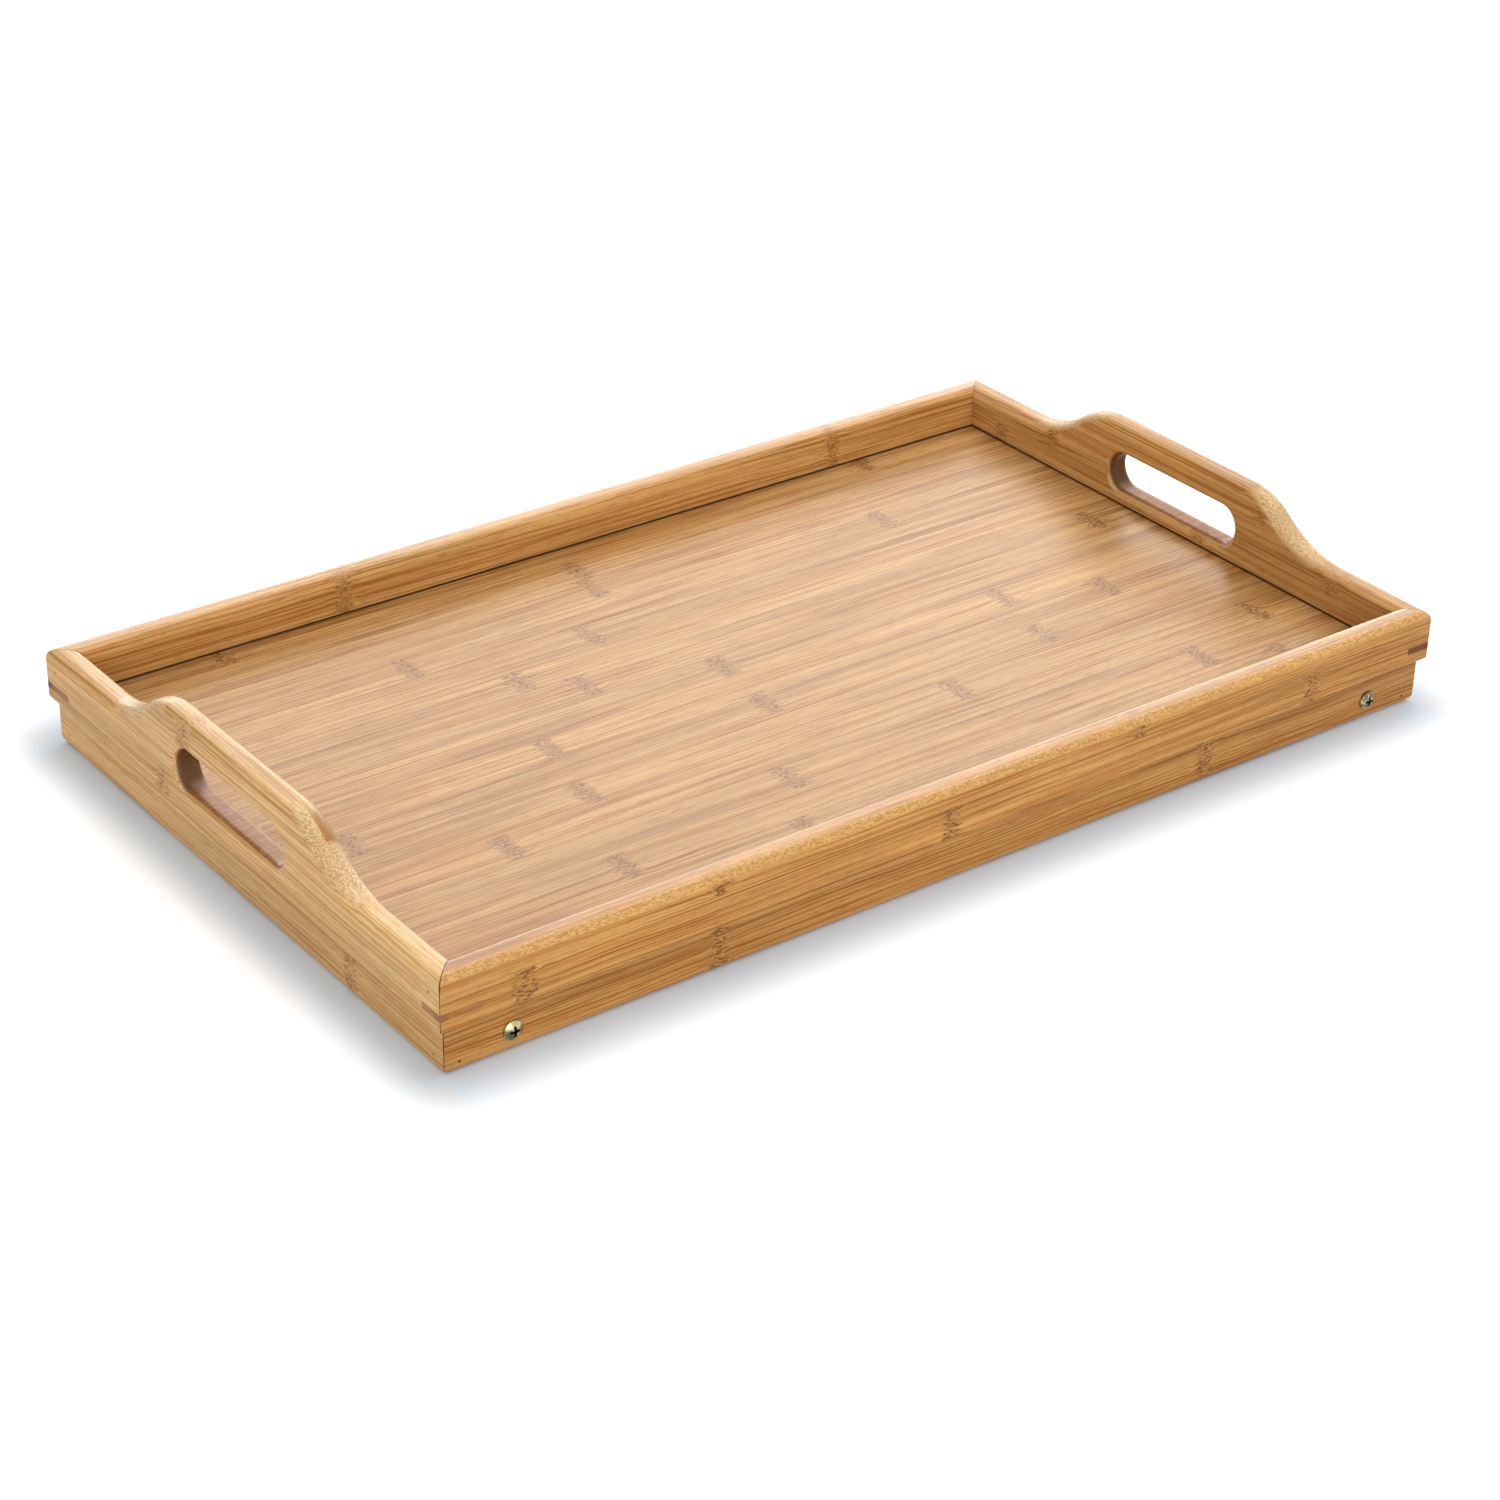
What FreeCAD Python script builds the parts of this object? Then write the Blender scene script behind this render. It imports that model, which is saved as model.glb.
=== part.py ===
import FreeCAD, Part
import os
import re

import Sketcher
from FreeCAD import Placement, Rotation, Vector

# A folding bamboo bed tray: four mitred rails around a thin deck panel, end rails that rise
# into handles, and two leg frames that fold flat under the deck.
# Frame: origin at the bottom centre, X along the long side, Y from front to back, Z up.

doc = FreeCAD.newDocument("bed_tray_table")
sheet = doc.addObject("Spreadsheet::Sheet", "Sizes")

# Millimetres, and degrees for angles. Each size stands alone.
SIZES = [
    ("tray_length", 500, "over the two end rails"),
    ("tray_width", 303, "over the two long rails"),
    ("rail_height", 44, "long rails, and end rails beside the handle"),
    ("rail_thickness", 12, "all four rails"),
    ("rail_round", 4.5, "round along both top edges of a rail"),
    ("lip_level", 20.5, "height of the step in the outer faces"),
    ("lip_depth", 2.8, "how far the band under the step lies back"),
    ("lip_round", 1.8, "round under the step"),
    ("base_round", 3.5, "round on the bottom outer edge of a rail"),
    ("glue_line", 0.1, "gap in each mitre and around each key"),
    ("handle_height", 64, "top of the handles"),
    ("handle_flat", 88, "straight length of a handle's top"),
    ("crown_sweep", 34, "radius where a handle's top turns down"),
    ("valley_sweep", 58, "radius where a shoulder runs out into the rail"),
    ("slot_length", 82, "finger slot, end to end"),
    ("slot_sill", 6.5, "from the deck's top to the bottom of the finger slot"),
    ("grip_depth", 14.2, "wood over the finger slot"),
    ("slot_round", 3.5, "round on the slot's edges"),
    ("deck_level", 25.2, "top of the deck panel"),
    ("deck_thickness", 5, "deck panel"),
    ("groove_depth", 5, "groove in the rails for the deck panel"),
    ("groove_play", 0.8, "space over the panel in its groove"),
    ("panel_play", 0.6, "space at the panel's edges in the groove"),
    ("key_level", 26, "bottom of the corner keys"),
    ("key_thickness", 3, "corner keys"),
    ("key_long", 18, "a key's longer visible edge"),
    ("key_short", 12, "a key's shorter visible edge"),
    ("brad_diameter", 1.2, "headless nails in the mitres"),
    ("brad_length", 18, "headless nails in the mitres"),
    ("brad_set", 0.4, "how deep a nail's head is sunk"),
    ("side_brad_inset", 9.5, "nail in a long rail, from the rail's end"),
    ("side_brad_level", 4.4, "nail in a long rail"),
    ("end_brad_inset", 7.5, "upper nail in an end rail, from the rail's end"),
    ("end_brad_level", 35.3, "upper nail in an end rail"),
    ("low_brad_inset", 9.9, "lower nail in an end rail, from the rail's end"),
    ("low_brad_level", 6.2, "lower nail in an end rail"),
    ("pivot_inset", 32, "leg pivot, from the tray's end"),
    ("pivot_level", 9.5, "leg pivot, from the bottom"),
    ("screw_diameter", 4, "pivot screw"),
    ("screw_length", 30, "pivot screw under its head"),
    ("screw_fit", 0.05, "radial clearance round a pivot screw"),
    ("head_diameter", 8, "pan head"),
    ("head_height", 2.4, "pan head"),
    ("head_rim", 0.9, "straight side of the pan head"),
    ("recess_width", 4.4, "cross recess, tip to tip"),
    ("recess_wing", 1, "cross recess, width of a wing"),
    ("recess_depth", 1.5, "cross recess"),
    ("washer_diameter", 10, "washers on the pivot screws"),
    ("washer_thickness", 1, "washers on the pivot screws"),
    ("nut_width", 7, "lock nut, across flats"),
    ("nut_height", 4.6, "lock nut"),
    ("side_play", 0.3, "space between a leg and its washers"),
    ("leg_reach", 186, "pivot to the foot"),
    ("leg_open_angle", 95, "angle from folded to open"),
    ("leg_below", 7.6, "pivot to the leg's lower face, folded"),
    ("leg_width", 12.8, "leg, along the pivot"),
    ("leg_round", 1.5, "round on a leg's long edges"),
    ("deck_play", 0.3, "space between a folded leg and the deck panel"),
    ("bar_width", 20, "cross bars"),
    ("bar_thickness", 12, "cross bars"),
    ("bar_round", 2.5, "round on a cross bar's edges"),
    ("foot_bar_inset", 24, "foot to the centre of the foot bar"),
    ("stretcher_reach", 46, "pivot to the centre of the stretcher"),
    ("dowel_diameter", 6, "dowels in the leg frames"),
    ("dowel_length", 22, "dowels in the leg frames"),
    ("dowel_spacing", 9, "between the two dowels of a joint"),
    ("dowel_depth", 9, "dowel hole in a leg"),
    ("dowel_play", 0.5, "space past the end of a dowel"),
]
for row, (alias, value, note) in enumerate(SIZES, 1):
    sheet.set(f"A{row}", note)
    sheet.set(f"B{row}", str(value))
    sheet.setAlias(f"B{row}", alias)
doc.recompute()

MARGIN = 5  # how far a cutting outline runs past the wood
TOLERANCE = 1e-4  # two coordinates this near to each other are the same


def size(alias):
    return float(sheet.get(alias))


def named(expression):
    """Expression text in which each size's alias is looked up in the sheet."""
    return re.sub(r"[a-z]+(_[a-z]+)+", r"Sizes.\g<0>", expression)


def bind(thing, path, expression):
    thing.setExpression(path, named(str(expression)))


def value_of(expression):
    return float(sheet.evalExpression(named(str(expression))))


# Lines that several pieces share.
HALF_LENGTH = "tray_length / 2"
HALF_WIDTH = "tray_width / 2"
INNER_X = "(tray_length / 2 - rail_thickness)"
INNER_Y = "(tray_width / 2 - rail_thickness)"
GROOVE_BOTTOM = "(deck_level - deck_thickness)"
GROOVE_TOP = "(deck_level + groove_play)"
BAND_X = "(tray_length / 2 - lip_depth)"
BAND_Y = "(tray_width / 2 - lip_depth)"
PIVOT_X = "(tray_length / 2 - pivot_inset)"
LEG_ABOVE = "(deck_level - deck_thickness - deck_play - pivot_level)"
LEG_OUTER_Y = "(tray_width / 2 - rail_thickness - washer_thickness - side_play)"
LEG_INNER_Y = "(tray_width / 2 - rail_thickness - washer_thickness - side_play - leg_width)"
FOOT_BAR_X = "(leg_reach - foot_bar_inset)"


# ---------------------------------------------------------------- building blocks

def new_body(label, base=("0", "0", "0"), turn=0):
    """An empty body, turned about Z, whose place follows the sheet."""
    body = doc.addObject("PartDesign::Body", label)
    body.Label = label
    body.Placement = Placement(Vector(0, 0, 0), Rotation(Vector(0, 0, 1), turn))
    for axis, expression in zip("xyz", base):
        bind(body, f"Placement.Base.{axis}", expression)
    return body


def sketch_in(body, role, offset="0"):
    """A sketch on one of the body's origin planes, moved along the plane's normal."""
    plane = next(f for f in body.Origin.OriginFeatures if f.Role == role)
    sketch = body.newObject("Sketcher::SketchObject", f"{body.Name}_sketch")
    sketch.AttachmentSupport = [(plane, "")]
    sketch.MapMode = "FlatFace"
    bind(sketch, "AttachmentOffset.Base.z", offset)
    return sketch


def pin_point(sketch, index, end, point):
    """Hold one end of a line or arc at a point given by two expressions."""
    for kind, expression in zip(("DistanceX", "DistanceY"), point):
        constraint = sketch.addConstraint(
            Sketcher.Constraint(kind, -1, 1, index, end, value_of(expression)))
        bind(sketch, f"Constraints[{constraint}]", expression)


def draw_outline(sketch, points, arcs=None):
    """A closed outline. arcs maps the number of a side to its radius and turning sense."""
    arcs = arcs or {}
    places = [Vector(value_of(x), value_of(y), 0) for x, y in points]
    for index, start in enumerate(places):
        end = places[(index + 1) % len(places)]
        if index in arcs:
            radius, sense = arcs[index]
            chord = end - start
            rise = (value_of(radius) ** 2 - (chord.Length / 2) ** 2) ** 0.5
            side = Vector(-chord.y, chord.x, 0).normalize() * sense
            centre = (start + end) / 2 + side * rise
            middle = centre + ((start + end) / 2 - centre).normalize() * value_of(radius)
            sketch.addGeometry(Part.Arc(start, middle, end))
        else:
            sketch.addGeometry(Part.LineSegment(start, end))
    for index, point in enumerate(points):
        turned = index in arcs and arcs[index][1] < 0
        pin_point(sketch, index, 2 if turned else 1, point)
        previous = (index - 1) % len(points)
        previous_turned = previous in arcs and arcs[previous][1] < 0
        pin_point(sketch, previous, 1 if previous_turned else 2, point)
        if index in arcs:
            radius = sketch.addConstraint(
                Sketcher.Constraint("Radius", index, value_of(arcs[index][0])))
            bind(sketch, f"Constraints[{radius}]", arcs[index][0])


def draw_circle(sketch, x, y, diameter):
    index = sketch.addGeometry(
        Part.Circle(Vector(value_of(x), value_of(y), 0), Vector(0, 0, 1), value_of(diameter) / 2))
    pin_point(sketch, index, 3, (x, y))
    constraint = sketch.addConstraint(Sketcher.Constraint("Diameter", index, value_of(diameter)))
    bind(sketch, f"Constraints[{constraint}]", diameter)


def finish_feature(body, feature):
    doc.recompute()
    body.Tip = feature
    return feature


def pad(body, sketch, length, both_ways=False, reverse=False):
    feature = body.newObject("PartDesign::Pad", f"{body.Name}_pad")
    feature.Profile = sketch
    feature.Midplane = both_ways
    feature.Reversed = reverse
    bind(feature, "Length", length)
    return finish_feature(body, feature)


def pocket(body, sketch, length=None, both_ways=False, reverse=False):
    """A cut of a given length, or through everything. A cut that removes nothing is an error."""
    before = body.Shape.Volume
    feature = body.newObject("PartDesign::Pocket", f"{body.Name}_pocket")
    feature.Profile = sketch
    feature.Midplane = both_ways
    feature.Reversed = reverse
    if length is None:
        feature.Type = "ThroughAll"
    else:
        bind(feature, "Length", length)
    finish_feature(body, feature)
    if body.Shape.Volume > before - TOLERANCE:
        raise RuntimeError(f"{body.Label}: {feature.Name} removes nothing")
    return feature


def round_edges(body, radius, wanted):
    """Round the edges whose two ends both satisfy the test."""
    base = body.Tip
    names = []
    for number, edge in enumerate(base.Shape.Edges, 1):
        middle = edge.valueAt((edge.FirstParameter + edge.LastParameter) / 2)
        spots = [vertex.Point for vertex in edge.Vertexes] + [middle]
        if all(wanted(spot) for spot in spots):
            names.append(f"Edge{number}")
    if not names:
        raise RuntimeError(f"{body.Label}: no edge to round")
    feature = body.newObject("PartDesign::Fillet", f"{body.Name}_round")
    feature.Base = (base, names)
    bind(feature, "Radius", radius)
    return finish_feature(body, feature)


def near(value, expression):
    return abs(value - value_of(expression)) < TOLERANCE


# ---------------------------------------------------------------- rails

def cut_mitres(body, along, across, inner_across):
    """Saw both ends of a rail at 45 degrees, half a glue line short of the corner.

    along is the rail's half length, across its outer face, both as seen in the XY plane
    for a rail on the negative side of its across axis.
    """
    for end in (-1, 1):
        sketch = sketch_in(body, "XY_Plane")
        gap = "glue_line / sqrt(2)"
        outer = [f"{end} * ({along} - {gap} + {MARGIN})", f"-({across} + {MARGIN})"]
        inner = [f"{end} * ({along} - {gap} - rail_thickness - {MARGIN})",
                 f"-({inner_across} - {MARGIN})"]
        outside = [outer[0], inner[1]]
        points = [outer, inner, outside]
        if body.Label.endswith("end_rail"):
            points = [[y, x] for x, y in points]
        draw_outline(sketch, points)
        pocket(body, sketch, both_ways=True)


def cut_key_slot(body, end, along, across, on_own_face, on_other_face):
    """A saw cut across the mitre at one end, for the corner key."""
    corner_u = f"{end} * ({along})"
    own = f"{end} * ({along} - {on_own_face} - glue_line)"
    other = f"-({across} - {on_other_face} - glue_line)"
    past_u = f"{end} * ({along} + {MARGIN})"
    past_v = f"-({across} + {MARGIN})"
    points = [(own, f"-({across})"), (own, past_v), (past_u, past_v), (past_u, other),
              (corner_u, other)]
    if body.Label.endswith("end_rail"):
        points = [(y, x) for x, y in points]
    sketch = sketch_in(body, "XY_Plane", "key_level - glue_line / 2")
    draw_outline(sketch, points)
    pocket(body, sketch, "key_thickness + glue_line", reverse=True)


def drill_across(body, role, offset, spots, diameter):
    """Round holes right through a rail, square to one of its origin planes."""
    sketch = sketch_in(body, role, offset)
    for x, y in spots:
        draw_circle(sketch, x, y, diameter)
    pocket(body, sketch, both_ways=True)


def drill_ends(body, role, nailed_face, spots, diameter):
    """Round holes into both ends of a rail, as deep as the nails from its neighbour's face reach."""
    reach = f"({nailed_face} - brad_set - brad_length - glue_line)"
    for end in (-1, 1):
        sketch = sketch_in(body, role, f"{end} * {reach}")
        for x, y in spots:
            draw_circle(sketch, x, y, diameter)
        pocket(body, sketch, reverse=end > 0)


def make_long_rail(label, turn):
    """A long rail, drawn at the front. The back rail is the same piece turned half round."""
    body = new_body(label, turn=turn)
    section = sketch_in(body, "YZ_Plane")
    draw_outline(section, [
        (f"-{BAND_Y}", "0"),
        (f"-{INNER_Y}", "0"),
        (f"-{INNER_Y}", GROOVE_BOTTOM),
        (f"-({INNER_Y} + groove_depth)", GROOVE_BOTTOM),
        (f"-({INNER_Y} + groove_depth)", GROOVE_TOP),
        (f"-{INNER_Y}", GROOVE_TOP),
        (f"-{INNER_Y}", "rail_height"),
        (f"-{HALF_WIDTH}", "rail_height"),
        (f"-{HALF_WIDTH}", "lip_level"),
        (f"-{BAND_Y}", "lip_level"),
    ])
    pad(body, section, "tray_length", both_ways=True)
    round_edges(body, "rail_round", lambda p: near(p.z, "rail_height")
                and (near(p.y, f"-{HALF_WIDTH}") or near(p.y, f"-{INNER_Y}")))
    round_edges(body, "lip_round", lambda p: near(p.z, "lip_level") and near(p.y, f"-{HALF_WIDTH}"))
    round_edges(body, "base_round", lambda p: near(p.z, "0") and near(p.y, f"-{BAND_Y}"))
    cut_mitres(body, HALF_LENGTH, HALF_WIDTH, INNER_Y)
    cut_key_slot(body, -1, HALF_LENGTH, HALF_WIDTH, "key_long", "key_short")
    cut_key_slot(body, 1, HALF_LENGTH, HALF_WIDTH, "key_short", "key_long")
    drill_across(body, "XZ_Plane", INNER_Y,
                 [(f"{side} * {PIVOT_X}", "pivot_level") for side in (-1, 1)],
                 "screw_diameter + 2 * screw_fit")
    drill_across(body, "XZ_Plane", INNER_Y,
                 [(f"{side} * ({HALF_LENGTH} - side_brad_inset)", "side_brad_level")
                  for side in (-1, 1)], "brad_diameter")
    drill_ends(body, "YZ_Plane", HALF_LENGTH,
               [(f"-({HALF_WIDTH} - end_brad_inset)", "end_brad_level")], "brad_diameter")
    drill_ends(body, "YZ_Plane", BAND_X,
               [(f"-({HALF_WIDTH} - low_brad_inset)", "low_brad_level")], "brad_diameter")
    return body


def make_end_rail(label, turn):
    """An end rail, drawn at the left. Its top sweeps up into a handle with a finger slot.

    Each shoulder of the handle is two arcs that run into each other, the crown above and the
    valley below. Where they meet, both lean at the angle whose cosine is slope_cos.
    """
    body = new_body(label, turn=turn)
    slope_cos = "(1 - (handle_height - rail_height) / (crown_sweep + valley_sweep))"
    slope_sin = f"sqrt(1 - {slope_cos} ^ 2)"
    top = "(handle_flat / 2)"
    shoulder = f"({top} + crown_sweep * {slope_sin})"
    shoulder_level = f"(handle_height - crown_sweep * (1 - {slope_cos}))"
    foot = f"({shoulder} + valley_sweep * {slope_sin})"
    side = sketch_in(body, "YZ_Plane", f"-{HALF_LENGTH}")
    draw_outline(side, [
        (f"-{HALF_WIDTH}", "0"),
        (HALF_WIDTH, "0"),
        (HALF_WIDTH, "rail_height"),
        (foot, "rail_height"),
        (shoulder, shoulder_level),
        (top, "handle_height"),
        (f"-{top}", "handle_height"),
        (f"-{shoulder}", shoulder_level),
        (f"-{foot}", "rail_height"),
        (f"-{HALF_WIDTH}", "rail_height"),
    ], arcs={3: ("valley_sweep", -1), 4: ("crown_sweep", 1),
             6: ("crown_sweep", 1), 7: ("valley_sweep", -1)})
    pad(body, side, "rail_thickness")

    groove = sketch_in(body, "XZ_Plane")
    draw_outline(groove, [
        (f"-({INNER_X} + groove_depth)", GROOVE_BOTTOM),
        (f"-({INNER_X} - {MARGIN})", GROOVE_BOTTOM),
        (f"-({INNER_X} - {MARGIN})", GROOVE_TOP),
        (f"-({INNER_X} + groove_depth)", GROOVE_TOP),
    ])
    pocket(body, groove, both_ways=True)
    step = sketch_in(body, "XZ_Plane")
    draw_outline(step, [
        (f"-({HALF_LENGTH} + {MARGIN})", f"-{MARGIN}"),
        (f"-{BAND_X}", f"-{MARGIN}"),
        (f"-{BAND_X}", "lip_level"),
        (f"-({HALF_LENGTH} + {MARGIN})", "lip_level"),
    ])
    pocket(body, step, both_ways=True)

    slot_radius = "((handle_height - grip_depth - deck_level - slot_sill) / 2)"
    slot_run = f"(slot_length / 2 - {slot_radius})"
    slot_middle = f"(handle_height - grip_depth - {slot_radius})"
    slot = sketch_in(body, "YZ_Plane", f"-{INNER_X}")
    draw_slot(slot, slot_run, slot_middle, slot_radius)
    pocket(body, slot, both_ways=True)

    def on_a_face(p):
        return near(p.x, f"-{HALF_LENGTH}") or near(p.x, f"-{INNER_X}")

    def at_slot(p):
        above = p.z - value_of(slot_middle)
        return (abs(p.y) < size("slot_length") / 2 + TOLERANCE
                and abs(above) < value_of(slot_radius) + TOLERANCE)

    round_edges(body, "slot_round", lambda p: on_a_face(p) and at_slot(p))
    round_edges(body, "rail_round", lambda p: on_a_face(p) and not at_slot(p)
                and p.z > size("rail_height") - TOLERANCE)
    round_edges(body, "lip_round", lambda p: near(p.z, "lip_level") and near(p.x, f"-{HALF_LENGTH}"))
    round_edges(body, "base_round", lambda p: near(p.z, "0") and near(p.x, f"-{BAND_X}"))
    cut_mitres(body, HALF_WIDTH, HALF_LENGTH, INNER_X)
    cut_key_slot(body, -1, HALF_WIDTH, HALF_LENGTH, "key_short", "key_long")
    cut_key_slot(body, 1, HALF_WIDTH, HALF_LENGTH, "key_long", "key_short")
    for inset, level in (("end_brad_inset", "end_brad_level"), ("low_brad_inset", "low_brad_level")):
        drill_across(body, "YZ_Plane", f"-{INNER_X}",
                     [(f"{side} * ({HALF_WIDTH} - {inset})", level) for side in (-1, 1)],
                     "brad_diameter")
    drill_ends(body, "XZ_Plane", BAND_Y,
               [(f"-({HALF_LENGTH} - side_brad_inset)", "side_brad_level")], "brad_diameter")
    return body


def draw_slot(sketch, run, middle, radius):
    """A level slot with round ends, centred on the sketch's upright axis."""
    r = value_of(radius)
    u = value_of(run)
    v = value_of(middle)
    sketch.addGeometry(Part.LineSegment(Vector(-u, v - r, 0), Vector(u, v - r, 0)))
    sketch.addGeometry(Part.Arc(Vector(u, v - r, 0), Vector(u + r, v, 0), Vector(u, v + r, 0)))
    sketch.addGeometry(Part.LineSegment(Vector(u, v + r, 0), Vector(-u, v + r, 0)))
    sketch.addGeometry(Part.Arc(Vector(-u, v + r, 0), Vector(-u - r, v, 0), Vector(-u, v - r, 0)))
    low = f"{middle} - {radius}"
    high = f"{middle} + {radius}"
    pin_point(sketch, 0, 1, (f"-{run}", low))
    pin_point(sketch, 0, 2, (run, low))
    pin_point(sketch, 2, 1, (run, high))
    pin_point(sketch, 2, 2, (f"-{run}", high))
    for arc, before, after in ((1, 0, 2), (3, 2, 0)):
        sketch.addConstraint(Sketcher.Constraint("Coincident", arc, 1, before, 2))
        sketch.addConstraint(Sketcher.Constraint("Coincident", arc, 2, after, 1))
        sketch.addConstraint(Sketcher.Constraint("Vertical", arc, 3, before, 2))


# ---------------------------------------------------------------- deck, keys and nails

def make_deck_panel():
    """The deck panel, let into the groove on all four sides."""
    body = new_body("deck_panel")
    half_x = f"({INNER_X} + groove_depth - panel_play)"
    half_y = f"({INNER_Y} + groove_depth - panel_play)"
    outline = sketch_in(body, "XY_Plane", GROOVE_BOTTOM)
    draw_outline(outline, [(f"-{half_x}", f"-{half_y}"), (half_x, f"-{half_y}"),
                           (half_x, half_y), (f"-{half_x}", half_y)])
    pad(body, outline, "deck_thickness")
    return body


def make_corner_key(label, turn, left):
    """A thin three-cornered key glued into the saw cut across a mitre."""
    body = new_body(label, turn=turn)
    side = -1 if left else 1
    on_front = "key_long" if left else "key_short"
    on_end = "key_short" if left else "key_long"
    outline = sketch_in(body, "XY_Plane", "key_level")
    corner = (f"{side} * ({HALF_LENGTH})", f"-({HALF_WIDTH})")
    draw_outline(outline, [
        corner,
        (f"{side} * ({HALF_LENGTH} - {on_front})", corner[1]),
        (corner[0], f"-({HALF_WIDTH} - {on_end})"),
    ])
    pad(body, outline, "key_thickness")
    return body


def new_cylinder(name, diameter, length, base, direction):
    """A round rod that starts at base and runs along direction."""
    rod = doc.addObject("Part::Cylinder", name)
    rod.Placement = Placement(Vector(0, 0, 0), Rotation(Vector(0, 0, 1), direction))
    bind(rod, "Radius", f"({diameter}) / 2")
    bind(rod, "Height", length)
    for axis, expression in zip("xyz", base):
        bind(rod, f"Placement.Base.{axis}", expression)
    return rod


def new_group(label, members):
    """Like pieces kept together as one named sub-part of separate solids."""
    group = doc.addObject("Part::Compound", label)
    group.Label = label
    group.Links = members
    doc.recompute()
    return group


def make_corner_brads():
    """Three headless nails in each mitre: one through the long rail, two through the end rail."""
    brads = []
    for side in (-1, 1):
        for end in (-1, 1):
            across = f"{side} * ({BAND_Y} - brad_set)"
            brads.append(new_cylinder(
                "side_brad", "brad_diameter", "brad_length",
                (f"{end} * ({HALF_LENGTH} - side_brad_inset)", across, "side_brad_level"),
                Vector(0, -side, 0)))
            brads.append(new_cylinder(
                "end_brad", "brad_diameter", "brad_length",
                (f"{end} * ({HALF_LENGTH} - brad_set)",
                 f"{side} * ({HALF_WIDTH} - end_brad_inset)", "end_brad_level"),
                Vector(-end, 0, 0)))
            brads.append(new_cylinder(
                "low_brad", "brad_diameter", "brad_length",
                (f"{end} * ({BAND_X} - brad_set)",
                 f"{side} * ({HALF_WIDTH} - low_brad_inset)", "low_brad_level"),
                Vector(-end, 0, 0)))
    return new_group("corner_brads", brads)


# ---------------------------------------------------------------- pivots

def pivot_places(depth):
    """The four pivots: a name, X, Y at a depth inside the tray's outer face, and turn about Z."""
    for name, x_side, y_side in (("front_left", -1, -1), ("front_right", 1, -1),
                                 ("back_left", -1, 1), ("back_right", 1, 1)):
        yield (name, f"{x_side} * {PIVOT_X}", f"{y_side} * ({depth})", 0 if y_side < 0 else 180)


def make_pivot_screw(name, x, y, turn):
    """A pan head screw with a cross recess. It points along +Y before it is turned."""
    body = new_body(name, (x, y, "pivot_level"), turn)
    profile = sketch_in(body, "XY_Plane")
    head = "(head_diameter / 2)"
    shank = "(screw_diameter / 2)"
    crown = f"(({head} ^ 2 + (head_height - head_rim) ^ 2) / (2 * (head_height - head_rim)))"
    draw_outline(profile, [
        ("0", "-head_height"),
        ("0", "screw_length"),
        (shank, "screw_length"),
        (shank, "0"),
        (head, "0"),
        (head, "-head_rim"),
    ], arcs={5: (crown, -1)})
    turned = body.newObject("PartDesign::Revolution", f"{body.Name}_turned")
    turned.Profile = profile
    turned.ReferenceAxis = (profile, ["V_Axis"])
    turned.Angle = 360
    finish_feature(body, turned)

    cross = sketch_in(body, "XZ_Plane", "head_height")
    wing = "(recess_wing / 2)"
    tip = "(recess_width / 2)"
    corners = []
    for sign_x, sign_y, upright_first in ((1, 1, False), (-1, 1, True),
                                          (-1, -1, False), (1, -1, True)):
        arms = [(f"{sign_x} * {tip}", f"{sign_y} * {wing}"),
                (f"{sign_x} * {wing}", f"{sign_y} * {wing}"),
                (f"{sign_x} * {wing}", f"{sign_y} * {tip}")]
        corners += arms[::-1] if upright_first else arms
    draw_outline(cross, corners)
    pocket(body, cross, "recess_depth")
    return body


def make_ring(name, x, y, turn):
    """A plain washer, lying against the face it is placed on."""
    body = new_body(name, (x, y, "pivot_level"), turn)
    ring = sketch_in(body, "XZ_Plane")
    draw_circle(ring, "0", "0", "washer_diameter")
    draw_circle(ring, "0", "0", "screw_diameter + 2 * screw_fit")
    pad(body, ring, "washer_thickness", reverse=True)
    return body


def make_nut(name, x, y, turn):
    """A hexagon lock nut, with its corners turned off on the inner side."""
    body = new_body(name, (x, y, "pivot_level"), turn)
    hexagon = sketch_in(body, "XZ_Plane")
    corner = "(nut_width / sqrt(3))"
    draw_outline(hexagon, [(f"{corner} * cos({60 * step} * 1 deg)",
                            f"{corner} * sin({60 * step} * 1 deg)") for step in range(6)])
    pad(body, hexagon, "nut_height", reverse=True)
    bore = sketch_in(body, "XZ_Plane")
    draw_circle(bore, "0", "0", "screw_diameter")
    pocket(body, bore, both_ways=True)
    return body


def make_pivot_hardware():
    screws = [make_pivot_screw(f"pivot_screw_{name}", x, y, turn)
              for name, x, y, turn in pivot_places(BAND_Y)]
    washers = [make_ring(f"rail_washer_{name}", x, y, turn)
               for name, x, y, turn in pivot_places(INNER_Y)]
    nut_washers = [make_ring(f"leg_washer_{name}", x, y, turn)
                   for name, x, y, turn in pivot_places(f"{LEG_INNER_Y} - side_play")]
    nuts = [make_nut(f"lock_nut_{name}", x, y, turn)
            for name, x, y, turn in pivot_places(f"{LEG_INNER_Y} - side_play - washer_thickness")]
    return [new_group("pivot_screws", screws), new_group("rail_washers", washers),
            new_group("leg_washers", nut_washers), new_group("pivot_lock_nuts", nuts)]


# ---------------------------------------------------------------- leg frames

def dowel_spots(sign=1):
    """Where the dowels of both cross bars lie, seen from the pivot."""
    return [(f"{sign} * ({bar} + {step} * dowel_spacing / 2)", bar_middle())
            for bar in (FOOT_BAR_X, "stretcher_reach") for step in (-1, 1)]


def bar_middle():
    """Height of the cross bars' centre line over the pivot, in the middle of the leg."""
    return f"(({LEG_ABOVE} - leg_below) / 2)"


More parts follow.
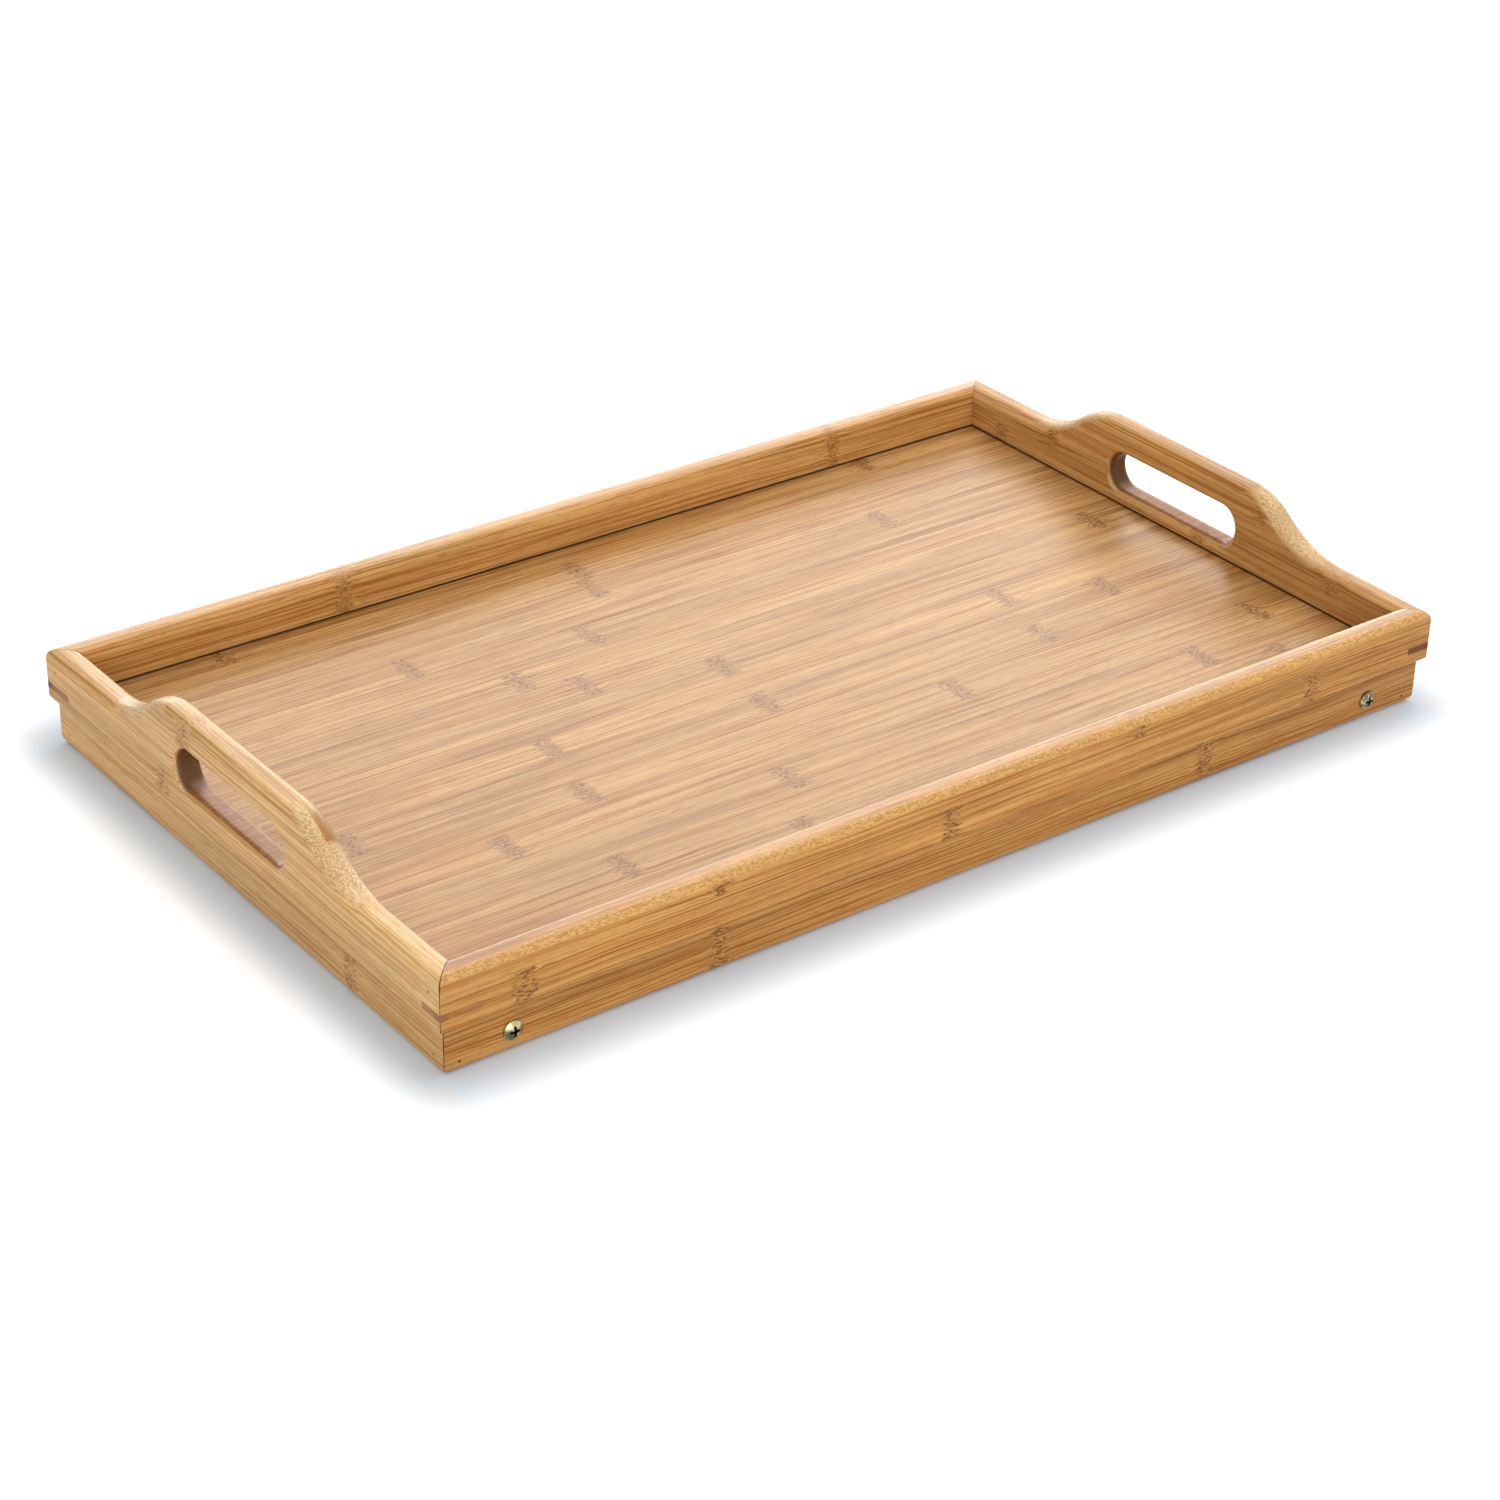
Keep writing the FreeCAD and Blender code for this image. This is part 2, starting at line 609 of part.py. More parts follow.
def make_leg(label, frame_turn, side):
    """One leg. It lies along +X from its pivot, and side says at which rail it runs.

    Its upper end is round about the pivot and then flat, so that the flat comes up against
    the deck panel when the leg is open. The foot is cut to lie level then.
    """
    x_sign = 1 if frame_turn else -1
    place_side = -side if frame_turn else side
    body = new_body(label, (f"{x_sign} * {PIVOT_X}", f"{place_side} * {LEG_OUTER_Y}",
                            "pivot_level"), frame_turn)
    slant = "((leg_open_angle - 90) * 1 deg)"
    profile = sketch_in(body, "XZ_Plane")
    draw_outline(profile, [
        ("0", LEG_ABOVE),
        (f"-{LEG_ABOVE} * cos{slant}", f"-{LEG_ABOVE} * sin{slant}"),
        (f"-({LEG_ABOVE} - leg_below * sin{slant}) / cos{slant}", "-leg_below"),
        (f"(leg_reach + leg_below * sin{slant}) / cos{slant}", "-leg_below"),
        (f"(leg_reach - {LEG_ABOVE} * sin{slant}) / cos{slant}", LEG_ABOVE),
    ], arcs={0: (LEG_ABOVE, 1)})
    inwards = side < 0
    pad(body, profile, "leg_width", reverse=inwards)
    round_edges(body, "leg_round", lambda p: near(p.y, "0") or near(abs(p.y), "leg_width"))
    bore = sketch_in(body, "XZ_Plane")
    draw_circle(bore, "0", "0", "screw_diameter + 2 * screw_fit")
    pocket(body, bore, both_ways=True)
    holes = sketch_in(body, "XZ_Plane", f"{side} * leg_width")
    for x, y in dowel_spots():
        draw_circle(holes, x, y, "dowel_diameter")
    pocket(body, holes, "dowel_depth", reverse=inwards)
    return body


def make_cross_bar(label, frame_turn, reach):
    """A bar across a leg frame, doweled between the two legs."""
    x_sign = 1 if frame_turn else -1
    body = new_body(label, (f"{x_sign} * {PIVOT_X}", "0", "pivot_level"), frame_turn)
    half_width = "(bar_width / 2)"
    low = f"{bar_middle()} - bar_thickness / 2"
    high = f"{bar_middle()} + bar_thickness / 2"
    section = sketch_in(body, "XZ_Plane")
    draw_outline(section, [(f"{reach} - {half_width}", low), (f"{reach} + {half_width}", low),
                           (f"{reach} + {half_width}", high), (f"{reach} - {half_width}", high)])
    pad(body, section, f"2 * {LEG_INNER_Y}", both_ways=True)
    round_edges(body, "bar_round", lambda p:
                (near(p.x, f"{reach} - {half_width}") or near(p.x, f"{reach} + {half_width}"))
                and (near(p.z, low) or near(p.z, high)))
    for side in (-1, 1):
        holes = sketch_in(body, "XZ_Plane",
                          f"{side} * ({LEG_INNER_Y} - (dowel_length - dowel_depth + dowel_play))")
        for step in (-1, 1):
            draw_circle(holes, f"{reach} + {step} * dowel_spacing / 2", bar_middle(),
                        "dowel_diameter")
        pocket(body, holes, reverse=side > 0)
    return body


def make_dowels(label, x_sign):
    """The eight beech dowels of one leg frame, bottomed in the legs."""
    dowels = []
    for x, z in dowel_spots(-x_sign):
        for side in (-1, 1):
            dowels.append(new_cylinder(
                "dowel", "dowel_diameter", "dowel_length",
                (f"{x_sign} * {PIVOT_X} + {x}", f"{side} * ({LEG_INNER_Y} + dowel_depth)",
                 f"pivot_level + {z}"), Vector(0, -side, 0)))
    return new_group(label, dowels)


def make_leg_frame(name, turn):
    x_sign = 1 if turn else -1
    at_front = 1 if turn else -1
    return [
        make_leg(f"{name}_front_leg", turn, at_front),
        make_leg(f"{name}_back_leg", turn, -at_front),
        make_cross_bar(f"{name}_foot_bar", turn, FOOT_BAR_X),
        make_cross_bar(f"{name}_stretcher", turn, "stretcher_reach"),
        make_dowels(f"{name}_frame_dowels", x_sign),
    ]


# ---------------------------------------------------------------- the whole tray

pieces = [
    make_long_rail("front_rail", 0),
    make_long_rail("back_rail", 180),
    make_end_rail("left_end_rail", 0),
    make_end_rail("right_end_rail", 180),
    make_deck_panel(),
    make_corner_key("front_left_key", 0, True),
    make_corner_key("front_right_key", 0, False),
    make_corner_key("back_right_key", 180, True),
    make_corner_key("back_left_key", 180, False),
    make_corner_brads(),
]
pieces += make_pivot_hardware()
pieces += make_leg_frame("left", 0)
pieces += make_leg_frame("right", 180)
doc.recompute()

faulty = [thing.Name for thing in doc.Objects
          if "Invalid" in thing.State or "Error" in thing.State]
if faulty:
    raise RuntimeError(f"failed objects: {faulty}")
for piece in pieces:
    if piece.Shape.isNull() or not piece.Shape.isValid():
        raise RuntimeError(f"bad shape: {piece.Label}")

os.makedirs("parts", exist_ok=True)
for piece in pieces:
    piece.Shape.exportStep(f"parts/{piece.Label}.step")
    box = piece.Shape.optimalBoundingBox()
    print(f"{piece.Label}: {len(piece.Shape.Solids)} solids, volume {piece.Shape.Volume:.1f}, "
          f"x {box.XMin:.2f}..{box.XMax:.2f} y {box.YMin:.2f}..{box.YMax:.2f} "
          f"z {box.ZMin:.2f}..{box.ZMax:.2f}")
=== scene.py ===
import math

import bpy
from mathutils import Matrix, Vector


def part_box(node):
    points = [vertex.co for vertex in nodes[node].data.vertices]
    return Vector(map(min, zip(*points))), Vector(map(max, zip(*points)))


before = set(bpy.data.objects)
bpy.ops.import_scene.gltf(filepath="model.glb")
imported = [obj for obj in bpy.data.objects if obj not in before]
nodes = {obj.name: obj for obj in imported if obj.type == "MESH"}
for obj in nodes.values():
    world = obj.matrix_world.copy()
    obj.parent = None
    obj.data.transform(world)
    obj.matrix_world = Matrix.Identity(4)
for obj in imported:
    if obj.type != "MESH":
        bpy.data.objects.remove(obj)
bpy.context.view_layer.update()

# ---------------------------------------------------------------- the long rails
# Front and back rails, each glued up from three bamboo strips laid on edge, planed, rounded
# along both top edges and stepped back below. Satin lacquer over steamed, tan bamboo.

MM = 0.001  # one millimetre, in scene units


def new_finish(name):
    """An empty material with its node tree ready to build."""
    material = bpy.data.materials.new(name)
    material.use_nodes = True
    material.node_tree.nodes.clear()
    return material


def add(owner, kind, inputs=None, **settings):
    """One shader node, fed by other nodes' outputs or by plain values."""
    made = owner.node_tree.nodes.new(kind)
    for setting, value in settings.items():
        setattr(made, setting, value)
    for socket, value in (inputs or {}).items():
        if isinstance(value, bpy.types.NodeSocket):
            owner.node_tree.links.new(value, made.inputs[socket])
        else:
            made.inputs[socket].default_value = value
    return made


def calc(owner, operation, *values):
    """A number worked out from others."""
    return add(owner, "ShaderNodeMath", dict(enumerate(values)), operation=operation).outputs[0]


def ease(owner, value, low, high, to_low=0.0, to_high=1.0):
    """Goes smoothly from to_low to to_high as value goes from low to high."""
    return add(owner, "ShaderNodeMapRange",
               {"Value": value, "From Min": low, "From Max": high,
                "To Min": to_low, "To Max": to_high},
               interpolation_type="SMOOTHSTEP").outputs["Result"]


def tone(owner, share, first, second, blend="MIX"):
    """Two colours mixed by a share, or the second laid over the first by it."""
    first_colour, second_colour = 6, 7  # the colour sockets of a Mix node
    return add(owner, "ShaderNodeMix",
               {"Factor": share, first_colour: first, second_colour: second},
               data_type="RGBA", blend_type=blend).outputs[2]


def grain_place(wood, along, across):
    """Where a point is in the wood, in millimetres: along the fibres, across them, and into
    the board."""
    here = add(wood, "ShaderNodeTexCoord").outputs["Object"]
    in_mm = add(wood, "ShaderNodeVectorMath", {0: here, 1: (1 / MM,) * 3},
                operation="MULTIPLY").outputs[0]
    apart = add(wood, "ShaderNodeSeparateXYZ", {0: in_mm}).outputs
    deep = next(axis for axis in "XYZ" if axis not in (along, across))
    return apart[along], apart[across], apart[deep]


def facing(wood, axis):
    """How squarely the surface faces along an axis, from -1 to 1."""
    normal = add(wood, "ShaderNodeTexCoord").outputs["Normal"]
    return add(wood, "ShaderNodeSeparateXYZ", {0: normal}).outputs[axis]


def fibre_noise(wood, place, length, width, detail, seed):
    """Noise drawn out along the fibres: its marks are about half of length by width."""
    u, v, w = place
    stretched = add(wood, "ShaderNodeCombineXYZ",
                    {0: calc(wood, "MULTIPLY_ADD", u, 1 / length, seed),
                     1: calc(wood, "DIVIDE", v, width),
                     2: calc(wood, "DIVIDE", w, width)}).outputs[0]
    return add(wood, "ShaderNodeTexNoise",
               {"Vector": stretched, "Scale": 1.0, "Detail": detail,
                "Roughness": 0.5}).outputs["Fac"]


def strip_table(wood, strip, rows):
    """What is known of each strip: where its knots are, and how dark it is.

    A row holds up to three knots, in millimetres from the middle of the tray, and a shade.
    """
    reach = 300.0  # knots lie within this of the middle, mm
    lookup = add(wood, "ShaderNodeValToRGB",
                 {0: calc(wood, "DIVIDE", calc(wood, "ADD", strip, 0.5), len(rows))})
    ramp = lookup.color_ramp
    ramp.interpolation = "CONSTANT"
    ramp.elements.remove(ramp.elements[1])
    for number, (knots, shade) in enumerate(rows):
        stop = ramp.elements.new(number / len(rows)) if number else ramp.elements[0]
        places = [(knot + reach) / (2 * reach) for knot in knots]
        stop.color = (places + [0.0] * 3)[:3] + [shade]
    knots = add(wood, "ShaderNodeSeparateColor", {0: lookup.outputs["Color"]}).outputs
    return ([calc(wood, "MULTIPLY_ADD", knots[i], 2 * reach, -reach) for i in range(3)],
            lookup.outputs["Alpha"])


def strip_number(wood, v, edges):
    """Counts the strip edges below a point."""
    number = calc(wood, "GREATER_THAN", v, edges[0])
    for edge in edges[1:]:
        number = calc(wood, "ADD", number, calc(wood, "GREATER_THAN", v, edge))
    return number


def distance_to(wood, value, marks):
    """How far a value is from the nearest of several marks."""
    nearest = None
    for mark in marks:
        gap = calc(wood, "ABSOLUTE", calc(wood, "SUBTRACT", value, mark))
        nearest = gap if nearest is None else calc(wood, "MINIMUM", nearest, gap)
    return nearest


def layup(edges):
    """A board glued up from strips, with its glue lines at these places: what counts the strips,
    and what measures to the nearest glue line."""

    def strips(wood, v):
        return strip_number(wood, v, edges)

    def seams(wood, v):
        return distance_to(wood, v, edges)

    return strips, seams


def bamboo(name, along, across, glued_up, rows, tones, seed, roughness=0.28, shine=0.1,
           knot_depth=0.85, on_top=0.3, extras=()):
    """Lacquered bamboo: long fibres, broad bands, a shade for each strip, and its knots.

    The fibres run along one axis, and the strips are counted across the other. glued_up is the
    board's layup, and rows is its strip table. tones are pale, mid, dark and knot colours. shine
    is the lacquer's specular level. on_top is how strongly the knots show on faces turned up.
    Each of the extras lays one more thing over the wood.
    """
    strips, seams = glued_up
    pale, mid, dark, knot_colour = tones
    wood = new_finish(name)
    place = grain_place(wood, along, across)
    u, v, w = place
    strip = strips(wood, v)
    knots, shade = strip_table(wood, strip, rows)
    strip_step = 7.31  # shifts each strip's grain against its neighbour's
    strip_seed = calc(wood, "MULTIPLY_ADD", strip, strip_step, seed)

    # Fibres drift a little over their length, and crowd together beside a knot.
    drift = fibre_noise(wood, place, 90.0, 16.0, 1.0, seed + 3.7)
    from_knot = distance_to(wood, u, knots)
    by_knot = ease(wood, from_knot, 16.0, 3.0)
    swirl = fibre_noise(wood, place, 9.0, 4.0, 1.0, seed + 6.1)
    bend = calc(wood, "MULTIPLY", calc(wood, "SUBTRACT", drift, 0.5), 3.0)
    bend = calc(wood, "ADD", bend, calc(wood, "MULTIPLY", calc(wood, "SUBTRACT", swirl, 0.5),
                                        calc(wood, "MULTIPLY", by_knot, 3.5)))
    bent = (u, calc(wood, "ADD", v, bend), w)

    # The grain, from broad to fine. Each noise has a shift of its own, so that no two line up.
    bands = fibre_noise(wood, bent, 240.0, 4.2, 1.5, strip_seed)
    lines = fibre_noise(wood, bent, 130.0, 0.68, 0.5, calc(wood, "ADD", strip_seed, 5.0))
    threads = fibre_noise(wood, bent, 55.0, 0.6, 0.5, calc(wood, "ADD", strip_seed, 11.0))
    dashes = fibre_noise(wood, bent, 9.0, 0.5, 1.0, calc(wood, "ADD", strip_seed, 17.0))
    clouds = fibre_noise(wood, place, 120.0, 16.0, 2.0, calc(wood, "ADD", strip_seed, 23.0))

    colour = tone(wood, ease(wood, bands, 0.42, 0.58), pale, mid)
    streaky = ease(wood, bands, 0.35, 0.62, 0.5, 1.0)
    colour = tone(wood, calc(wood, "MULTIPLY", ease(wood, lines, 0.48, 0.58), streaky), colour, dark)
    colour = tone(wood, ease(wood, threads, 0.54, 0.62, 0.0, 0.7), colour, pale)
    colour = tone(wood, ease(wood, dashes, 0.58, 0.66, 0.0, 0.5), colour, dark)
    depth = calc(wood, "MULTIPLY", ease(wood, clouds, 0.3, 0.7, 1.09, 0.91), shade)
    colour = tone(wood, 1.0, colour, depth, "MULTIPLY")

    # A knot is a ragged column of short brown marks with golden wood between them.
    each_fibre = fibre_noise(wood, place, 60.0, 1.2, 1.0, seed + 8.8)
    ragged = calc(wood, "MULTIPLY_ADD", calc(wood, "SUBTRACT", each_fibre, 0.5), 13.0, from_knot)
    shown = ease(wood, facing(wood, "Z"), 0.2, 0.7, 1.0, on_top)
    in_knot = calc(wood, "MULTIPLY", ease(wood, ragged, 5.0, 3.0), shown)
    marks = fibre_noise(wood, place, 1.9, 0.55, 0.5, seed + 2.2)
    colour = tone(wood, calc(wood, "MULTIPLY", in_knot, 0.6), colour, pale)
    blotch = calc(wood, "MULTIPLY", in_knot, ease(wood, marks, 0.45, 0.57, 0.25, knot_depth))
    colour = tone(wood, blotch, colour, knot_colour)

    glue = ease(wood, seams(wood, v), 0.42, 0.05, 0.0, 0.45)
    colour = tone(wood, calc(wood, "MULTIPLY", glue, ease(wood, drift, 0.38, 0.6)), colour, dark)
    for extra in extras:
        colour = extra(wood, colour, place)

    relief = calc(wood, "MULTIPLY", calc(wood, "ADD", lines, blotch), -1.0)
    bump = add(wood, "ShaderNodeBump", {"Height": relief, "Strength": 0.3,
                                        "Distance": 0.06 * MM}).outputs[0]
    rough = ease(wood, lines, 0.4, 0.65, roughness, roughness + 0.07)
    shader = add(wood, "ShaderNodeBsdfPrincipled",
                 {"Base Color": colour, "Roughness": rough, "Normal": bump})
    shader.inputs["IOR"].default_value = 1.5
    shader.inputs["Specular IOR Level"].default_value = shine
    add(wood, "ShaderNodeOutputMaterial", {"Surface": shader.outputs[0]})
    return wood


def dress(node, finish):
    """Gives a piece of the frame its finish."""
    piece = nodes[node]
    for surface in piece.material_slots:
        surface.material = finish


rail_layup = layup((19.5, 35.5))  # heights of the glue lines, mm


def cut_fibres(wood, colour, place):
    """Golden grains where the top round cuts the fibres off at a slant."""
    _, _, w = place
    outward = calc(wood, "MULTIPLY", facing(wood, "Y"), calc(wood, "SIGN", w))
    slanting = calc(wood, "MULTIPLY", ease(wood, outward, 0.1, 0.4),
                    ease(wood, facing(wood, "Z"), 0.1, 0.45))
    grains = fibre_noise(wood, place, 1.6, 0.5, 0.5, 51.0)
    colour = tone(wood, calc(wood, "MULTIPLY", slanting, 0.7), colour, (0.80, 0.49, 0.18, 1))
    return tone(wood, calc(wood, "MULTIPLY", slanting, ease(wood, grains, 0.46, 0.56, 0.0, 0.75)),
                colour, (0.48, 0.22, 0.055, 1))


def mitre_line(wood, colour, place):
    """The dark line of glue where two rails meet. It is open at the front left corner, shows
    on the inner half of the back left one, and is hardly there on the right."""
    here = add(wood, "ShaderNodeTexCoord").outputs["Object"]
    apart = add(wood, "ShaderNodeSeparateXYZ", {0: here}).outputs
    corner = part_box("right_end_rail")[1].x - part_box("back_rail")[1].y
    back_middle = (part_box("back_rail")[0].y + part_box("back_rail")[1].y) / 2
    off = calc(wood, "SUBTRACT", calc(wood, "ABSOLUTE", apart["X"]),
               calc(wood, "ABSOLUTE", apart["Y"]))
    off = calc(wood, "ABSOLUTE", calc(wood, "SUBTRACT", off, corner))
    uneven = add(wood, "ShaderNodeTexNoise", {"Vector": here, "Scale": 110.0}).outputs["Fac"]
    width = ease(wood, uneven, 0.35, 0.7, 0.25 * MM, 0.6 * MM)
    line = ease(wood, calc(wood, "DIVIDE", off, width), 1.0, 0.5)
    open_left = ease(wood, apart["X"], 10 * MM, -10 * MM, 0.12, 0.85)
    closed_back = ease(wood, apart["Y"], back_middle - 0.5 * MM, back_middle + 0.5 * MM, 1.0, 0.1)
    share = calc(wood, "MULTIPLY", line, calc(wood, "MULTIPLY", open_left, closed_back))
    return tone(wood, share, colour, (0.05, 0.02, 0.01, 1))


front_rail_bamboo = bamboo(
    "front_rail_bamboo", "X", "Z", rail_layup,
    [((-125, 124), 0.84), ((-214, -16, 180), 1.0), ((-127, 82), 0.96)],
    ((0.65, 0.34, 0.10, 1), (0.53, 0.24, 0.055, 1), (0.34, 0.125, 0.02, 1), (0.22, 0.075, 0.014, 1)),
    1.5, roughness=0.25, shine=0.15, knot_depth=0.95, extras=(cut_fibres, mitre_line))
dress("front_rail", front_rail_bamboo)

back_rail_bamboo = bamboo(
    "back_rail_bamboo", "X", "Z", rail_layup,
    [((-60, 190), 0.97), ((-115, 152), 1.0), ((-115, 152), 1.03)],
    ((0.68, 0.39, 0.14, 1), (0.58, 0.29, 0.09, 1), (0.37, 0.15, 0.03, 1), (0.26, 0.10, 0.02, 1)),
    41.0, on_top=0.6, extras=(cut_fibres, mitre_line))
dress("back_rail", back_rail_bamboo)

# ---------------------------------------------------------------- the end rails
# The two short rails, from wider and paler strips. Their tops are sawn to a handle's outline,
# pierced by a finger slot, and rounded over by hand on a sander.

end_layup = layup((19.5, 34.0, 50.5))  # heights of the glue lines, mm
slot_reach = 42.0  # from the slot's middle to just past its end, mm
slot_low, slot_high = 31.0, 50.5  # heights just under and just over the slot, mm


def cut_ends(wood, colour, place):
    """Golden grains on a handle's shoulders, where the sander has cut the fibres across."""
    sloping = ease(wood, calc(wood, "ABSOLUTE", facing(wood, "Y")), 0.05, 0.3)
    sloping = calc(wood, "MULTIPLY", sloping, ease(wood, facing(wood, "Z"), 0.05, 0.35))
    grains = fibre_noise(wood, place, 30.0, 0.45, 0.5, 3.3)
    colour = tone(wood, calc(wood, "MULTIPLY", sloping, 0.8), colour, (0.80, 0.58, 0.32, 1))
    return tone(wood, calc(wood, "MULTIPLY", sloping, ease(wood, grains, 0.46, 0.56, 0.0, 0.8)),
                colour, (0.50, 0.26, 0.085, 1))


def slot_wall(wood, colour, place):
    """The routed wall of the finger slot, where the lacquer lies thick and brown. Towards the slot's
    back end it is darkened nearly to black: painted shade."""
    u, v, _ = place
    inside = calc(wood, "LESS_THAN", calc(wood, "ABSOLUTE", u), slot_reach)
    inside = calc(wood, "MULTIPLY", inside, calc(wood, "LESS_THAN", v, slot_high))
    inside = calc(wood, "MULTIPLY", inside, calc(wood, "GREATER_THAN", v, slot_low))
    turned = ease(wood, calc(wood, "ABSOLUTE", facing(wood, "X")), 0.9, 0.5)
    ripples = fibre_noise(wood, place, 1.6, 6.0, 1.0, 31.0)
    brown = tone(wood, ease(wood, ripples, 0.4, 0.6), (0.37, 0.15, 0.04, 1), (0.27, 0.095, 0.02, 1))
    # painted shade: the wall darkens nearly to black towards the slot's back end
    brown = tone(wood, ease(wood, u, 24.0, 39.0, 0.0, 0.85), brown, (0.06, 0.02, 0.006, 1))
    share = calc(wood, "MULTIPLY", calc(wood, "MULTIPLY", inside, turned), 0.9)
    return tone(wood, share, colour, brown)


def skin_patch(wood, colour, place):
    """Brown outer skin of the culm, left on the inner round of the handle's front shoulder. It
    starts sharply at the front, fades out at the back, and stays on the half by the deck."""
    u, _, w = place
    patch = calc(wood, "MULTIPLY", ease(wood, u, -67.0, -65.0), ease(wood, u, -48.0, -58.0))
    patch = calc(wood, "MULTIPLY", patch, ease(wood, w, -244.4, -243.8))
    patch = calc(wood, "MULTIPLY", patch, ease(wood, facing(wood, "Z"), 0.05, 0.2))
    return tone(wood, calc(wood, "MULTIPLY", patch, 0.9), colour, (0.38, 0.165, 0.035, 1))


left_end_bamboo = bamboo(
    "left_end_bamboo", "Y", "Z", end_layup,
    [((-84,), 0.97), ((53,), 1.03), ((), 1.05), ((34,), 1.0)],
    ((0.78, 0.50, 0.22, 1), (0.68, 0.39, 0.14, 1), (0.45, 0.21, 0.055, 1), (0.33, 0.13, 0.025, 1)),
    83.0, on_top=0.15, extras=(cut_ends, skin_patch, slot_wall, mitre_line))
dress("left_end_rail", left_end_bamboo)

right_end_bamboo = bamboo(
    "right_end_bamboo", "Y", "Z", end_layup,
    [((40,), 0.97), ((-20, 118), 1.0), ((82, -103), 0.98), ((-57,), 1.0)],
    ((0.66, 0.375, 0.135, 1), (0.54, 0.27, 0.08, 1), (0.36, 0.15, 0.035, 1), (0.30, 0.12, 0.03, 1)),
    127.0, shine=0.05, on_top=0.15, extras=(cut_ends, slot_wall, mitre_line))
dress("right_end_rail", right_end_bamboo)

# ---------------------------------------------------------------- the deck panel
# A thin board of sixteen bamboo strips glued edge to edge, each with its own shade and its
# knots in other places, sanded flat, lacquered, and let into the rails' grooves.

deck_strip_width = 18.2  # mm
deck_first_edge = -145.9  # the front edge of the first strip, mm


def strips_back(wood, v):
    """How many strip widths a point lies behind the front edge of the first strip."""
    return calc(wood, "DIVIDE", calc(wood, "SUBTRACT", v, deck_first_edge), deck_strip_width)


def deck_strips(wood, v):
    return calc(wood, "FLOOR", strips_back(wood, v))


def deck_seams(wood, v):
    to_edge = calc(wood, "PINGPONG", strips_back(wood, v), 0.5)
    return calc(wood, "MULTIPLY", to_edge, deck_strip_width)


def groove_shade_line(wood, colour, place):
    """A thin dark line painted where the deck runs into the rails' grooves: painted shade of the gap.
    """
    u, v, _ = place
    from_end = calc(wood, "SUBTRACT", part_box("right_end_rail")[0].x / MM, calc(wood, "ABSOLUTE", u))
    from_side = calc(wood, "SUBTRACT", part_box("back_rail")[0].y / MM, calc(wood, "ABSOLUTE", v))
    # painted shade along the deck's edge by the back and right rails
    line = ease(wood, calc(wood, "MINIMUM", from_end, from_side), 0.9, 0.3, 0.0, 0.8)
    return tone(wood, line, colour, (0.09, 0.035, 0.012, 1))


deck_rows = [  # from the front: each strip's knots, and its shade
    ((20,), 1.0), ((-60, 198), 1.0), ((-135, 165), 0.98), ((-42, 214), 0.99),
    ((-164, 60), 1.02), ((-116, 123), 1.0), ((-213, -13, 176), 0.97), ((-108, 131), 1.02),
    ((-9,), 0.97), ((-66, 216), 0.98), ((-87,), 1.01), ((-39,), 1.01),
    ((-119, 136), 0.97), ((-13,), 0.99), ((-9,), 0.98), ((-178, 166), 0.96)]
deck_bamboo = bamboo(
    "deck_bamboo", "X", "Y", (deck_strips, deck_seams), deck_rows,
    ((0.59, 0.34, 0.125, 1), (0.48, 0.24, 0.07, 1), (0.28, 0.10, 0.018, 1), (0.20, 0.065, 0.012, 1)),
    211.0, roughness=0.32, knot_depth=0.95, on_top=1.0, extras=(groove_shade_line,))
dress("deck_panel", deck_bamboo)

# ---------------------------------------------------------------- the corner keys
# Slips of bamboo glued into a saw cut across each mitre and sanded flush. Those on the right
# came from dark, steamed stock. The back left one is dark only at its tip, and the front left
# one is close to the rail's own tan.


def key_finish(name, pale, dark, tip):
    """A slip of bamboo whose fibres run across the corner, with a shade for its outer tip."""
    wood = new_finish(name)
    grain_scale = (60, 60, 1500)  # noise cells to a metre: broad in the slip's plane, thin through it
    here = add(wood, "ShaderNodeTexCoord").outputs["Object"]
    turned = add(wood, "ShaderNodeMapping",
                 {"Vector": here, "Rotation": (0, 0, math.radians(45)),
                  "Scale": grain_scale}).outputs[0]
    lines = add(wood, "ShaderNodeTexNoise",
                {"Vector": turned, "Scale": 1.0, "Detail": 3.0, "Distortion": 0.3}).outputs["Fac"]
    blotches = add(wood, "ShaderNodeTexNoise",
                   {"Vector": here, "Scale": 300.0, "Detail": 2.0}).outputs["Fac"]
    colour = tone(wood, ease(wood, lines, 0.38, 0.66), pale, dark)
    colour = tone(wood, ease(wood, blotches, 0.5, 0.75, 0.0, 0.4), colour, dark)
    apart = add(wood, "ShaderNodeSeparateXYZ", {0: here}).outputs
    outward = calc(wood, "ADD", calc(wood, "ABSOLUTE", apart["X"]), calc(wood, "ABSOLUTE", apart["Y"]))
    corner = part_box("right_end_rail")[1].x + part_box("back_rail")[1].y
    colour = tone(wood, ease(wood, outward, corner - 5 * MM, corner - 2 * MM), colour, tip)
    bump = add(wood, "ShaderNodeBump", {"Height": lines, "Strength": 0.3,
                                        "Distance": 0.05 * MM}).outputs[0]
    shader = add(wood, "ShaderNodeBsdfPrincipled",
                 {"Base Color": colour, "Roughness": ease(wood, lines, 0.3, 0.7, 0.3, 0.42),
                  "Normal": bump})
    shader.inputs["Specular IOR Level"].default_value = 0.2
    add(wood, "ShaderNodeOutputMaterial", {"Surface": shader.outputs[0]})
    return wood


